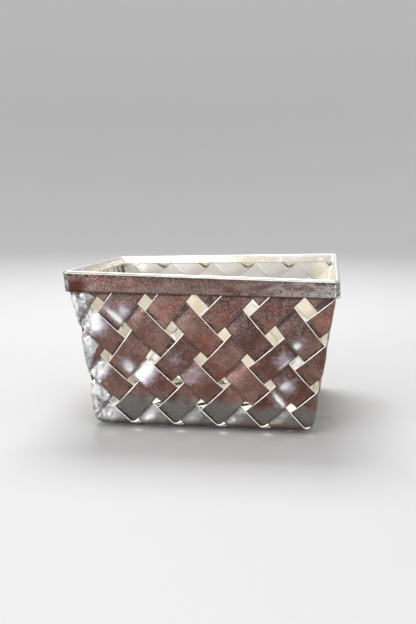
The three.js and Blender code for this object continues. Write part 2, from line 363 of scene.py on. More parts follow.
def bend(points):
    """Adds the edges' moves: at height share t, (1 - t)(1 - 2t) of the base's, 4t(1 - t) of the middle's and
    t(2t - 1) of the rim's."""
    x, y, z = points[..., 0], points[..., 1], points[..., 2]
    t = np.clip(z / RIM_TOP, 0, 1)[..., None]
    base, middle, top = [blend_corners(x, y, EDGE_MOVES[:, :, level]) for level in range(3)]
    return points + base * (1 - t) * (1 - 2 * t) + middle * 4 * t * (1 - t) + top * t * (2 * t - 1)


print("largest move of an upright edge in mm:", np.abs(EDGE_MOVES).max())

# %% [markdown]
# ## A closed skin from a grid
# Every piece here is a tube: a closed section carried along a line. The points come as one array, ring after
# ring, and the faces are the same four-cornered pattern all along. The two end rings are closed with a face
# each, so the piece is a real solid. The numbers that the finish needs later, such as how far across the
# strip a point lies, go into the mesh as named point attributes.

# %% Mesh helper
def tube_mesh(name, rings, values, last_lid=True):
    """A mesh from rings (count, points, 3) in mm. values holds one number per point for each named map. The
    first ring is closed with a face, and the last one too unless last_lid says otherwise."""
    count, size = rings.shape[:2]
    first = np.arange(count - 1)[:, None] * size
    here = np.arange(size)[None, :]
    after = (here + 1) % size
    quads = np.stack([first + here, first + size + here, first + size + after, first + after], -1)
    faces = quads.reshape(-1, 4).tolist()
    last = (count - 1) * size
    faces.append(list(range(size)))
    if last_lid:
        faces.append(list(range(last, last + size))[::-1])
    mesh = bpy.data.meshes.new(name)
    mesh.from_pydata((rings.reshape(-1, 3) * MM).tolist(), [], faces)
    for key, numbers in values.items():
        attribute = mesh.attributes.new(key, "FLOAT", "POINT")
        attribute.data.foreach_set("value", numbers.astype(np.float32).ravel())
    mesh.polygons.foreach_set("use_smooth", [True] * len(mesh.polygons))
    mesh.update()
    piece = bpy.data.objects.new(name, mesh)
    bpy.context.scene.collection.objects.link(piece)
    return piece


# %% [markdown]
# ## One strip
# The section of a strip is flat with rounded outer edges. Shears and years of polishing rounded them, and
# they are what catches the light. A strip is that section at many places along its length. Both the ends
# and the leaning edges depend on the row, and the row depends on both, so we work them out a few times over,
# until nothing moves any more.

# %% Strip section
SKIN_POINTS = 13
EDGE_POINTS = 5
INNER_EDGE_POINTS = 3
OUTER_EDGE_WIDTH = 0.38
OUTER_EDGE_DEPTH = 0.32
STRIP_HALF = STRIP_WIDTH / 2
STEPS_PER_PITCH = 20
ROW_AT_STRIP_END = 5.93
SETTLING_ROUNDS = 6


def strip_section():
    """One closed loop round a strip: how far across, from -1 to 1, the height over its middle, and the skin
    it belongs to, 1 for the outer face and -1 for the inner one. Each edge is a quarter of an ellipse on
    the outer side and a smaller one on the inner side."""
    top = STRIP_SHEET / 2
    inner_depth = STRIP_SHEET - OUTER_EDGE_DEPTH
    flat = np.linspace(-1, 1, SKIN_POINTS)
    outer_flat = flat * (STRIP_HALF - OUTER_EDGE_WIDTH)
    inner_flat = flat[::-1] * (STRIP_HALF - inner_depth)
    turn = np.linspace(0, math.pi / 2, EDGE_POINTS)[1:]
    outer_x = STRIP_HALF - OUTER_EDGE_WIDTH * (1 - np.sin(turn))
    outer_z = top - OUTER_EDGE_DEPTH * (1 - np.cos(turn))
    inner_turn = np.linspace(math.pi / 2, 0, INNER_EDGE_POINTS)[1:-1]
    inner_x = STRIP_HALF - inner_depth * (1 - np.sin(inner_turn))
    inner_z = -top + inner_depth * (1 - np.cos(inner_turn))
    edge_x = np.concatenate([outer_x, inner_x])
    edge_z = np.concatenate([outer_z, inner_z])
    edge_skin = np.concatenate([np.ones(EDGE_POINTS - 2), [0.5], -np.ones(len(inner_x))])
    across = np.concatenate([outer_flat, edge_x, inner_flat, -edge_x[::-1]]) / STRIP_HALF
    height = np.concatenate([np.full(SKIN_POINTS, top), edge_z, np.full(SKIN_POINTS, -top), edge_z[::-1]])
    skin = np.concatenate([np.ones(SKIN_POINTS), edge_skin, -np.ones(SKIN_POINTS), edge_skin[::-1]])
    return across, height, skin


print("points round a strip:", len(strip_section()[0]))

# %% [markdown]
# ## Rubbed crowns and painted highlights
# Hands and polishing cloths touch only what sticks out, so the crown of a crossing is rubbed back to bright
# silver, more or less. The shine never runs on from one strip to the next, so each outer crossing gets soft
# hills of rub of its own, kept as a point attribute. Those of the front wall were judged, and the others are
# random. On the front wall the hills are painted highlights as well as rub: a bright core in a lavender halo.
# Rubbing also wears a shallow hollow. A fifth of it goes into the mesh, and the rest into the material's
# relief, so that no strip runs into the one below it. Another random number, the shade, gives every crossing
# its own piece of the patina's pattern, and its own light. On the front wall the lights were judged too, and
# one face has a plainer piece.

# %% Rub and painted highlights on the crowns
NO_RUB = 0.10
RANDOM_RUB = 0.85
RUBBED_SHARE = 0.35
HOLLOW_SLOPE = 0.26
HOLLOW_IN_MESH = 0.2
PLAIN_FACE = (TO_THE_LEFT, 4, 2)
PLAINER_CLOUDS = -0.2
MEAN_LIGHT = 0.98
LIGHT_SPREAD = 0.20

# strength, place up the strip in pitches, place across it in half widths, and size in the same two units:
# the lowest and highest random values, and then the hills by row and number of the strip
RANDOM_HILLS = [(0.3, 1), (0.05, 0.55), (-0.80, 0.90), (0.17, 0.30), (0.60, 1.60)]
# on the front wall these hills are painted highlights as well as rub
FRONT_CROWN_HIGHLIGHTS = {
    (5, 18): [(0.62, -0.10, 0.45, 0.20, 0.60), (1.00, -0.40, 0.20, 0.10, 1.10)],
    (4, 2): [(1.00, 0.38, -0.05, 0.25, 1.50), (0.45, 0.06, -0.20, 0.17, 0.70)],
    (4, 6): [(0.42, -0.05, 0.50, 0.24, 0.75), (0.90, -0.06, 0.66, 0.07, 0.26)],
    (3, 19): [(0.70, -0.22, 0.35, 0.24, 0.80), (0.55, -0.27, 0.45, 0.10, 0.32)],
    (3, 0): [(0.30, -0.05, 0.00, 0.28, 0.80)],
    (3, 2): [(0.45, 0.30, 0.40, 0.26, 0.70), (0.60, 0.24, 0.84, 0.24, 0.13)],
    (2, 1): [(0.85, 0.39, 0.00, 0.22, 1.60)],
    (2, 2): [(1.10, 0.48, -0.05, 0.28, 1.70), (0.15, 0.14, 0.00, 0.26, 1.50)],
    (2, 3): [(0.42, 0.32, 0.10, 0.25, 1.30)],
    (2, 5): [(0.62, 0.10, 0.30, 0.27, 0.85), (0.90, 0.20, 0.42, 0.07, 0.36)],
    (1, 3): [(1.10, 0.42, 0.15, 0.065, 0.75), (0.35, 0.28, 0.10, 0.18, 0.90)],
    (1, 19): [(0.30, -0.10, 0.00, 0.25, 0.90)],
    (0, 0): [(0.80, 0.40, 0.00, 0.40, 1.60)],
    (0, 1): [(0.65, 0.44, 0.00, 0.18, 1.30), (0.30, 0.20, 0.00, 0.40, 1.50)],
    (0, 2): [(0.40, 0.42, 0.00, 0.18, 1.30), (0.15, 0.20, 0.00, 0.40, 1.50)],
    (0, 3): [(0.25, 0.42, 0.00, 0.20, 1.30)],
}

# by row, and then by number of the strip
FRONT_LIGHTS = {
    5: {0: 0.86, 1: 0.78},
    4: {2: 0.76, 3: 0.88, 4: 1.14, 5: 0.62, 6: 0.78},
    3: {19: 1.05, 0: 0.82, 1: 1.05, 2: 0.76, 3: 0.86},
    2: {1: 1.03, 2: 0.96, 3: 1.16, 4: 1.30, 5: 0.82},
}


def way_at(row):
    """The strips on the outside rise to the right in odd rows, and to the left in even ones."""
    return TO_THE_RIGHT if row % 2 else TO_THE_LEFT


all_crossings = (2, AROUND, WALL_ROWS + 1)
is_rubbed = seeded.uniform(0, 1, all_crossings) < RUBBED_SHARE
seeded_hills = np.stack([seeded.uniform(low, high, all_crossings) for low, high in RANDOM_HILLS], -1)
seeded_hills[..., 0] *= RANDOM_RUB * is_rubbed
shades = seeded.uniform(-1, 1, all_crossings)
lights = MEAN_LIGHT + LIGHT_SPREAD * shades
for way, numbers in FRONT_NUMBERS.items():
    seeded_hills[way, numbers, :, 0] = NO_RUB
for row, row_lights in FRONT_LIGHTS.items():
    lights[way_at(row), list(row_lights), row] = list(row_lights.values())
shades[PLAIN_FACE] += PLAINER_CLOUDS
print("crossings with random rub:", np.count_nonzero(seeded_hills[..., 0] > NO_RUB))


def crown_marks(corner, index, phase, across_share):
    """Rub and highlight, lift, shade and light of every point of a strip. Rub and highlight is the sum of its
    hills, each strength times e^-(distance along^2 + distance across^2), with the distances in hill sizes.
    On the front wall the hills are painted highlights as well as rub. Lift is the hollow, in mm, that
    rubbing leaves: each hill's rub times its length, so that short and long hollows have the same slopes.
    Shade and light are those of the crossing whose middle is less than a pitch away."""
    turns = 2 * index + 1
    rub_and_highlight, lift, shade, light = np.zeros((4,) + phase.shape)
    for row in range(WALL_ROWS + 1):
        way = way_at(row)
        number = (SIDE_UNITS * corner + (index if way == TO_THE_RIGHT else -1 - index)) % AROUND
        middle, upwards = (-row, -1) if way == TO_THE_RIGHT else (turns + row, 1)
        for hill in FRONT_CROWN_HIGHLIGHTS.get((row, number), [seeded_hills[way, number, row]]):
            strength, place_up, place_across, length, width = hill
            far_along = (phase - middle - upwards * place_up) / length
            far_across = (across_share - place_across) / width
            hill_rub_and_highlight = strength * np.exp(-far_along ** 2 - far_across ** 2)
            rub_and_highlight += hill_rub_and_highlight
            lift -= HOLLOW_SLOPE * hill_rub_and_highlight * length * PITCH
        is_here = np.abs(phase - middle) < 1
        shade += shades[way, number, row] * is_here
        light += lights[way, number, row] * is_here
    return {"rub_and_highlight": rub_and_highlight, "lift": lift, "shade": shade, "light": light}


# %% One plaited strip
def strip_grid(corner, index, across_share):
    """Pitches along and across for each step and each point of the section, and the row that they reach."""
    turns = 2 * index + 1
    steps = int((turns + 2 * ROW_AT_STRIP_END) * STEPS_PER_PITCH)
    travel = np.linspace(0, 1, steps)[:, None]
    across = np.broadcast_to(across_share * BASE_SPAN, (steps, len(across_share)))
    for _ in range(SETTLING_ROUNDS):
        start = -ROW_AT_STRIP_END - across
        end = turns + ROW_AT_STRIP_END + across
        along = start + travel * (end - start)
        row = row_at(index, along, across)
        first = sideways(TO_THE_RIGHT, SIDE_UNITS * corner + index, row)
        second = sideways(TO_THE_LEFT, SIDE_UNITS * corner - 1 - index, row)
        across = across_share * span_at(row) + np.where(along < turns / 2, first, second)
    return along, across


def plaited_strip(name, corner, index):
    """One strip as a closed mesh: a grid of places along and across, each moved out by the wave and in by
    part of the hollows. The attribute over is 1 on an outer crossing's middle and -1 where the strip is
    covered, and up is the distance from that middle, in pitches, positive away from the base."""
    across_share, skin_height, skin = strip_section()
    along, across = strip_grid(corner, index, across_share)
    places, normals = strip_surface(index, along.ravel(), across.ravel())
    row = row_at(index, along, across)
    phase = wave_phase(corner, index, along)
    dent = dents(corner, index, along, across_share)
    marks = crown_marks(corner, index, phase, across_share)
    height = strip_height(phase, across_share, row, dent) + HOLLOW_IN_MESH * marks["lift"] + skin_height
    marks["lift"] *= 1 - HOLLOW_IN_MESH
    points = turned(places + normals * height.reshape(-1, 1), corner)
    upwards = 2 * np.clip(along / (2 * index + 1), 0, 1) - 1
    return tube_mesh(name, bend(points).reshape(along.shape + (3,)), {
        **marks,
        "across": np.broadcast_to(across_share, along.shape),
        "over": -np.cos(math.pi * phase),
        "up": (phase - 2 * np.floor(phase / 2) - 1) * upwards,
        "skin": np.broadcast_to(skin, along.shape),
    })


# %% Plait all twenty strips
strips = []
for corner, place in enumerate(["front_left", "front_right", "back_right", "back_left"]):
    for index in range(SIDE_UNITS):
        strip = plaited_strip(f"plaited_{place}_{index + 1}", corner, index)
        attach(strip, "root")
        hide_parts(f"strip_{place}_{index + 1}")
        strips.append(strip)
print("strips:", len(strips), "faces:", sum(len(s.data.polygons) for s in strips))

# %% [markdown]
# ## The rim channel
# One long piece of sheet was folded lengthwise over the strip ends, and then bent round the four corners.
# Its section is a narrow upside-down U: a tall outer flange, a round fold, and a shorter inner flange that
# leans with the wall. We carry that section round a square with rounded corners. The section comes as
# a list of points with their distance from the wall's middle surface, because that distance also sets how
# wide each point swings round a corner.

# %% Rim sizes
RIM_SHEET = 0.6
RIM_INSIDE = 0.72
RIM_OUTSIDE = RIM_INSIDE + RIM_SHEET
OUTER_DROP = 8.3
INNER_DROP = 4.4
FOLD_CENTRE = RIM_TOP - RIM_OUTSIDE
WALL_TOP_HALF = RIM_HALF - RIM_OUTSIDE
RIM_CORNER = 1.8
RIM_SMALLEST_BEND = 0.3
RIM_SEAM = 0.35
RIM_SEAM_TURN = math.radians(28)
FLANGE_POINTS = 12
FOLD_POINTS = 15
HIDDEN_POINTS = 3
HIDDEN_FOLD_POINTS = 7
CORNER_STEPS = 16
SIDE_STEPS = 90
RIM_CORNERS = np.array([(1, -1), (1, 1), (-1, 1), (-1, -1)])


def flange(offset, drop, points, leaning, skin):
    """Points down one face of a flange: out from the middle, height, distance from the wall's surface, and
    the skin that it belongs to."""
    z = np.linspace(FOLD_CENTRE, RIM_TOP - drop, points)
    lean_in = (z - FOLD_CENTRE) * math.tan(WALL_LEAN) * leaning
    return np.stack([WALL_TOP_HALF + offset + lean_in, z, np.full(points, offset), np.full(points, skin)], 1)


def fold(radius, start, end, points, outer_skin):
    """Points on an arc over the strip ends, from one flange to the other. Outside, the skin turns from the
    outer one, 1, to the inner one, -1, as the cosine of the arc."""
    turn = np.linspace(start, end, points)[1:-1]
    out = radius * np.cos(turn)
    skin = np.cos(turn) if outer_skin else -np.ones(len(turn))
    return np.stack([WALL_TOP_HALF + out, FOLD_CENTRE + radius * np.sin(turn), out, skin], 1)


def rim_section():
    """The closed outline of the channel, anticlockwise: up the outer flange's face, over the fold, down the
    inner flange's face and up again inside. Columns: out, height, distance from the wall, skin."""
    return np.concatenate([
        flange(RIM_OUTSIDE, OUTER_DROP, FLANGE_POINTS, 0, 1)[::-1],
        fold(RIM_OUTSIDE, 0, math.pi, FOLD_POINTS, True),
        flange(-RIM_OUTSIDE, INNER_DROP, FLANGE_POINTS, 1, -1),
        flange(-RIM_INSIDE, INNER_DROP, HIDDEN_POINTS, 1, -1)[::-1],
        fold(RIM_INSIDE, math.pi, 0, HIDDEN_FOLD_POINTS, False),
        flange(RIM_INSIDE, OUTER_DROP, HIDDEN_POINTS, 0, -1),
    ])


# %% [markdown]
# ## Round four corners
# At a corner the section swings through a fan of directions round the corner's centre, and between two
# corners it runs straight. The two ends of the channel meet in the front right corner with a slit between
# them. Hand work shows here too: the flanges wave a little, the front left corner's fold was drawn up and
# sticks out in a small beak, so the outer flange is tallest there.

# %% Rim rings
FLANGE_WAVE = 0.10
LONG_WAVES = (6.1, 7.3)
SHORT_WAVES = (2.9, 3.7)
SHORT_WAVE_SHARE = 0.6
WAVE_START = 0.7
LIFT_OF_CORNERS = np.array([[[1.4], [0.0]], [[0.0], [0.0]]])
BEAK_REACH = 0.7
BEAK_RISE = 0.35
BEAK_SIZE = 1.6
BEAK_DEPTHS = (2.2, 0.8)


def rim_stations():
    """Corner numbers and directions along the rim, from one side of the seam round to the other."""
    corner_turns = np.linspace(0, math.pi / 2, CORNER_STEPS + 1)
    stations = [(0, turn) for turn in corner_turns if turn > RIM_SEAM_TURN]
    stations += [(corner, turn) for corner in (1, 2, 3) for turn in corner_turns]
    stations += [(4, turn) for turn in corner_turns if turn < RIM_SEAM_TURN]
    return [(0, RIM_SEAM_TURN)] + stations + [(4, RIM_SEAM_TURN)]


def rim_rings(section):
    """Rings of points round the rim: each point's place is the corner's centre plus its own radius along the
    station's direction, and the straight sides are filled in between the corner fans."""
    radius = np.maximum(RIM_CORNER + section[:, 2], RIM_SMALLEST_BEND)
    rings = []
    for corner, turn in rim_stations():
        start = (corner - 1) * math.pi / 2
        facing = np.array([math.cos(start + turn), math.sin(start + turn)])
        centre = (section[:, :1] - radius[:, None]) * RIM_CORNERS[corner % 4]
        plan = centre + radius[:, None] * facing
        ring = np.column_stack([plan, section[:, 1]])
        if turn == 0 and rings:
            shares = np.linspace(0, 1, SIDE_STEPS)[1:-1, None, None]
            rings += list(rings[-1] + (ring - rings[-1]) * shares)
        rings.append(ring)
    rings = np.array(rings)
    seam = RIM_SEAM_TURN - math.pi / 2
    half_slit = np.array([-math.sin(seam), math.cos(seam), 0]) * RIM_SEAM / 2
    rings[0] += half_slit
    rings[-1] -= half_slit
    return rings


def hand_work(rings, section):
    """Waves in the flanges, the fold drawn up at one corner, and the beak at that corner's top. The wave is a
    sine of x times a cosine of y, and a share of a quicker, slanting sine. The beak is e^-(distance^2 / 2),
    with the distance in beak sizes."""
    x, y, z = rings[..., 0], rings[..., 1], rings[..., 2]
    down = np.clip((FOLD_CENTRE - section[:, 1]) / (OUTER_DROP - RIM_OUTSIDE), 0, 1)
    out = rings * [1, 1, 0] / np.linalg.norm(rings[..., :2], axis=-1, keepdims=True)
    long_wave = np.sin(x / LONG_WAVES[0] + WAVE_START) * np.cos(y / LONG_WAVES[1])
    wave = long_wave + SHORT_WAVE_SHARE * np.sin(x / SHORT_WAVES[0] - y / SHORT_WAVES[1])
    lift = blend_corners(x, y, LIFT_OF_CORNERS)[..., 0] * (1 - down)
    from_beak = np.hypot(x + RIM_HALF, y + RIM_HALF) / BEAK_SIZE
    near_top = smooth_step(RIM_TOP - BEAK_DEPTHS[0], RIM_TOP - BEAK_DEPTHS[1], z)
    beak = BEAK_REACH * np.exp(-from_beak ** 2 / 2) * near_top
    worked = rings + out * (wave * FLANGE_WAVE * down + beak)[..., None]
    worked[..., 2] += lift + BEAK_RISE * beak
    return worked


# %% Make the rim
section = rim_section()
rings = rim_rings(section)
travelled = np.linalg.norm(np.diff(rings[:, :, :2].mean(1), axis=0), axis=1)
around = np.concatenate([[0], np.cumsum(travelled)])
rim = tube_mesh("folded_rim", bend(hand_work(rings, section)), {
    "below_top": np.broadcast_to(RIM_TOP - section[:, 1], rings.shape[:2]),
    "skin": np.broadcast_to(section[:, 3], rings.shape[:2]),
    "around": np.broadcast_to(around[:, None], rings.shape[:2]),
})
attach(rim, "root")
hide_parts("rim_channel")
print("rim faces:", len(rim.data.polygons), "length round in mm:", round(around[-1]))

# %% [markdown]
# ## Building blocks for the finish
# Silver plate doesn't wear to one colour. A brown patina, in places red or mauve, covers what nobody rubs,
# black grime sits where a strip dives under its neighbour, and every edge is polished bright. Strips and rim
# need the same clouds, pits and streaks in other sizes, so we build those once, as shader node groups with
# named inputs, and place them in each material with other values. What a node puts out is wrapped in a
# small class, so that a formula can be written as a formula: each + - and * in it adds a Math node.

# %% Node helpers
class Value:
    """What a node puts out. + - and * add the Math node that works out the sum."""

    def __init__(self, node, output):
        self.socket = node.outputs[output]

    def __add__(self, other):
        return calculate("ADD", self, other)

    def __sub__(self, other):
        return calculate("SUBTRACT", self, other)

    def __rsub__(self, other):
        return calculate("SUBTRACT", other, self)

    def __mul__(self, other):
        return calculate("MULTIPLY", self, other)


def fill(node, inputs):
    """Fills a node's inputs with fixed numbers and colours, or links them to what other nodes put out."""
    for key, value in inputs.items():
        if isinstance(value, Value):
            node.id_data.links.new(value.socket, node.inputs[key])
        else:
            node.inputs[key].default_value = value


def add(kind, inputs, tree=None, **settings):
    """Adds a node to the tree that its inputs come from, or else to tree, sets its options and fills it."""
    trees = [value.socket.id_data for value in inputs.values() if isinstance(value, Value)] + [tree]
    node = trees[0].nodes.new("ShaderNode" + kind)
    for key, setting in settings.items():
        setattr(node, key, setting)
    fill(node, inputs)
    return node


def calculate(operation, *numbers):
    """One sum, such as ADD or DIVIDE, on fixed numbers and values."""
    return Value(add("Math", dict(enumerate(numbers)), operation=operation), "Value")


def largest(first, *others):
    for other in others:
        first = calculate("MAXIMUM", first, other)
    return first


def ramp(value, start, end, low=0.0, high=1.0):
    """low at start, high at end, with a soft beginning and end between them."""
    inputs = {"Value": value, "From Min": start, "From Max": end, "To Min": low, "To Max": high}
    return Value(add("MapRange", inputs, interpolation_type="SMOOTHSTEP"), "Result")


def noise(place, scale, detail):
    return Value(add("TexNoise", {"Vector": place, "Scale": scale, "Detail": detail}), "Fac")


def moved(place, shift):
    return Value(add("VectorMath", {0: place, 1: shift}), "Vector")


def scaled(place, factors):
    return Value(add("Mapping", {"Vector": place, "Scale": factors}), "Vector")


def paint(tone, *coats):
    """tone under coats of other colours. A coat is a mask, from 0 to 1, and the colour that it puts on."""
    for mask, color in coats:
        tone = Value(add("Mix", {0: mask, 6: tone, 7: color}, data_type="RGBA"), 2)
    return tone


# %% Node groups
SOCKET_KINDS = {"Place": "Vector", "Color": "Color"}


def new_group(name, inputs, outputs):
    """An empty shader node group with inputs and outputs of these names, what its inputs give, and its
    output node. Sockets that SOCKET_KINDS doesn't name are plain numbers."""
    tree = bpy.data.node_groups.new(name, "ShaderNodeTree")
    for direction, sockets in (("INPUT", inputs), ("OUTPUT", outputs)):
        for socket in sockets:
            kind = SOCKET_KINDS.get(socket, "Float")
            tree.interface.new_socket(socket, in_out=direction, socket_type=f"NodeSocket{kind}")
    source = tree.nodes.new("NodeGroupInput")
    return tree, {key: Value(source, key) for key in inputs}, tree.nodes.new("NodeGroupOutput")


def use_group(group, **inputs):
    """Places a node group in the tree of its inputs, fills them, and gives what it puts out by name."""
    node = add("Group", inputs, node_tree=group)
    return {socket.name: Value(node, socket.name) for socket in node.outputs}


# %% [markdown]
# ## Clouds
# Nearly every mark on old metal is a cloud: a noise that is cut off below one value and full above another.
# A noise node and a ramp make one. Its size is in mm, so that the numbers below can be compared with the
# real thing.

# %% Group: clouds
clouds, given, result = new_group("clouds", ["Place", "Size", "Detail", "From", "To"], ["Mask"])
patches = noise(given["Place"], calculate("DIVIDE", 1.0, given["Size"]), given["Detail"])
fill(result, {"Mask": ramp(patches, given["From"], given["To"])})


def cloud(place, size, detail, start, end):
    """The mask of a clouds group: patches of this size in mm, from 0 at start to 1 at end."""
    return use_group(clouds, Place=place, Size=size, Detail=detail, From=start, To=end)["Mask"]


# %% [markdown]
# ## Pits
# Tarnish starts in single points. A Voronoi texture gives each cell of space one centre, and the distance to
# it makes a dot. Its random cell colour decides which cells have a dot at all, and a little noise on the
# distance makes the dots ragged.

# %% Group: pits
RAGGEDNESS = 0.7
pits, given, result = new_group("pits", ["Place", "Spacing", "Radius", "Amount"], ["Mask"])
cells = add("TexVoronoi", {"Vector": given["Place"], "Scale": calculate("DIVIDE", 1.0, given["Spacing"])})
distance = Value(cells, "Distance") + (noise(given["Place"], 3.0, 3.0) - 0.5) * RAGGEDNESS
draw = Value(add("SeparateColor", {"Color": Value(cells, "Color")}), "Red")
round_pit = ramp(distance, given["Radius"], given["Radius"] * 0.5)
fill(result, {"Mask": round_pit * calculate("LESS_THAN", draw, given["Amount"])})

# %% [markdown]
# ## The colours of worn silver plate
# Named once and used by both materials, because strips and rim are plated and worn alike. The patina's
# colours are those of thin tarnish and of the copper-coloured metal below, and the bright ones are silver.

# %% Palette
BROWN = (0.182, 0.088, 0.065, 1)
RED = (0.240, 0.083, 0.060, 1)
MAUVE = (0.290, 0.180, 0.160, 1)
DARK = (0.050, 0.024, 0.018, 1)
DARK_RED = (0.060, 0.014, 0.010, 1)
GRIME_AND_SHADE = (0.016, 0.010, 0.007, 1)
OLIVE = (0.330, 0.280, 0.195, 1)
BRIGHT = (0.95, 0.94, 0.92, 1)
STEEL_GREY = (0.250, 0.252, 0.240, 1)
PALE_STEEL = (0.480, 0.490, 0.480, 1)
WARM_GREY = (0.455, 0.380, 0.350, 1)
LAVENDER_GREY = (0.425, 0.388, 0.452, 1)
CREAM = (0.96, 0.88, 0.73, 1)
PALE_SILVER = (0.97, 0.95, 0.91, 1)
COOL_SILVER = (0.50, 0.515, 0.53, 1)
SHADED_SILVER = (0.600, 0.580, 0.550, 1)
OLD_IVORY = (0.550, 0.500, 0.400, 1)
COPPER = (0.420, 0.130, 0.065, 1)

# %% [markdown]
# ## Patina
# The brown of the walls is three layers of clouds: red ones where the plate is thin, mauve ones where the
# tarnish has just begun, and small dark ones on top of both. A fine grain in the brightness stands for all
# the scratches that are too small to draw.

# %% Group: patina
FAR_AWAY = (31.0, 17.0, 53.0)
patina, given, result = new_group(
    "patina", ["Place", "Redness", "Mauveness", "Grain", "Light"], ["Color", "Dark Clouds"])
far_place = moved(given["Place"], FAR_AWAY)
red_clouds = cloud(given["Place"], 7.0, 5.0, 0.40, 0.68) * given["Redness"]
mauve_clouds = cloud(far_place, 10.0, 4.0, 0.36, 0.66) * given["Mauveness"]
dark_clouds = cloud(given["Place"], 2.4, 7.0, 0.52, 0.76)
tone = paint(BROWN, (red_clouds, RED), (mauve_clouds, MAUVE), (dark_clouds * 0.5, DARK))
light = (cloud(far_place, 0.5, 5.0, 0.30, 0.70) - 0.5) * given["Grain"] + given["Light"]
grained = add("VectorMath", {0: tone, "Scale": light}, operation="SCALE")
fill(result, {"Color": Value(grained, "Vector"), "Dark Clouds": dark_clouds})

# %% [markdown]
# ## Polished silver and painted reflections
# On the corners of the basket, where it is gripped, the plate is bare and bright. Bare silver isn't white:
# it mirrors what is round it, so pale and grey streaks lie side by side as painted reflections, and tarnish
# spots come back between them. The streaks are clouds drawn out upwards, by a Mapping node that squeezes
# space in that direction.

# %% Group: polished silver and painted reflections
UPWARD_SQUEEZE = (1.0, 1.0, 0.45)
polished_and_reflecting, given, result = new_group("polished_and_reflecting", ["Place", "Spots"], ["Color"])
drawn_out = scaled(given["Place"], UPWARD_SQUEEZE)
# painted reflections: pale and grey streaks of mirrored surroundings
painted_bright_reflections = cloud(drawn_out, 4.0, 3.0, 0.43, 0.56)
shadows = cloud(drawn_out, 2.4, 4.0, 0.55, 0.64) * 0.85
spots = cloud(given["Place"], 1.7, 7.0, 0.58, 0.68) * given["Spots"]
fill(result, {"Color": paint(COOL_SILVER, (painted_bright_reflections, BRIGHT), (shadows, STEEL_GREY), (spots, DARK))})
print("node groups:", [group.name for group in bpy.data.node_groups])

# %% [markdown]
# ## What the two materials share
# Both read the place on the piece in mm and the attributes of the mesh, have the same pale inner side, and
# end alike: grime isn't metal, so it lowers Metallic, and so does the painted shade drawn with it; a thin
# coat sharpens the reflections a little, and a Bump node takes the relief's heights in mm.

# %% Start and end of a material
COAT_WEIGHT = 0.25
DIRT_DULLS = 0.7
DIRT_ROUGHENS = 0.25
DARK_ROUGHENS = 0.12


def start_material(name):
    """A new material: itself, its tree, its shader, and places on the piece in mm."""
    material = bpy.data.materials.new(name)
    material.use_nodes = True
    tree = material.node_tree
    place = scaled(Value(add("TexCoord", {}, tree), "Object"), [1 / MM] * 3)
    return material, tree, tree.nodes["Principled BSDF"], place


def read(tree, *names):
    """Point attributes that tube_mesh stored on the piece."""
    return [Value(add("Attribute", {}, tree, attribute_name=name), "Fac") for name in names]


def split(place):
    node = add("SeparateXYZ", {"Vector": place})
    return [Value(node, axis) for axis in "XYZ"]


def combined(x, y, z=0.0):
    return Value(add("CombineXYZ", {"X": x, "Y": y, "Z": z}), "Vector")


def near_corner(x, y):
    """The smaller distance from the middle as a share of the larger one: 1 on the basket's upright edges."""
    sizes = [calculate("ABSOLUTE", x), calculate("ABSOLUTE", y)]
    return calculate("DIVIDE", calculate("MINIMUM", *sizes), calculate("MAXIMUM", *sizes))


def inner_side(place):
    return paint(CREAM, (cloud(place, 14.0, 3.0, 0.40, 0.65), PALE_SILVER))


def end_material(shader, tone, dirt_and_shade, rough, coat_roughness, relief):
    """Fills the shader: colour, shine and relief, and less metal where there is dirt and painted shade."""
    bump = add("Bump", {"Height": relief, "Strength": 1.0, "Distance": MM})
    fill(shader, {"Base Color": tone, "Metallic": 1.0 - dirt_and_shade * DIRT_DULLS, "Roughness": rough})
    fill(shader, {"Coat Weight": COAT_WEIGHT, "Coat Roughness": coat_roughness})
    fill(shader, {"Normal": Value(bump, "Normal")})


# %% [markdown]
# ## The strips' patina
# Each crossing was bent, rubbed and tarnished by itself. So the patina's pattern is moved to another place
# for each crossing by its shade number, and is a little lighter or darker there. The light of a real room
# comes from all round, and our floor mirrors more in the middle of a face than at its lower end, so painted
# light makes the patina lighter towards the ends, the lower end most, and towards the lower side of each
# face. Under the rim it is mottled with grey, near the base the brown gives way to the grey of a painted
# reflection, and at the right some copper shows along the base edge and at the corner.

# %% Strip material: patina
SHIFT_PER_SHADE = (40.0, 70.0)
LOWER_END_LIGHT = 0.52
LOW_SIDE_LIGHT = 0.15
BOTH_ENDS_LIGHT = 0.23
ALL_OVER_LIGHT = 0.92
strip_material, tree, shader, place = start_material("strip_silver")
across, over, up, skin = read(tree, "across", "over", "up", "skin")
rub_and_highlight, lift, shade, light = read(tree, "rub_and_highlight", "lift", "shade", "light")
x, y, z = split(place)
own_place = moved(place, combined(*[shade * shift for shift in SHIFT_PER_SHADE]))
# painted light: lighter towards both ends of each face, the lower end most, and towards its lower side
light = (light - up * LOWER_END_LIGHT) * ALL_OVER_LIGHT + across * LOW_SIDE_LIGHT
light = light + ramp(over, 1.0, 0.0, 0.0, BOTH_ENDS_LIGHT)
made = use_group(patina, Place=own_place, Redness=0.85, Mauveness=0.75, Grain=0.78, Light=light)
mottling = cloud(own_place, 1.0, 8.0, 0.44, 0.64) * ramp(z, 44, 58, 0.0, 0.32)
# painted reflection: near the base the brown turns to grey
painted_reflection_near_base = ramp(z + x * 0.05 - cloud(place, 9.0, 3.0, 0.35, 0.65) * 3.5, 16.5, 10.5)
copper_side = ramp(x, 57, 63, 0.0, 0.25)
copper_base = ramp(z, 8.5, 5.0) * ramp(x, -5, 25) * cloud(place, 2.5, 4.0, 0.44, 0.62) * 0.5
tone = paint(made["Color"], (mottling, WARM_GREY), (painted_reflection_near_base * 0.92, STEEL_GREY))
tone = paint(tone, (copper_side, COPPER), (copper_base, COPPER))

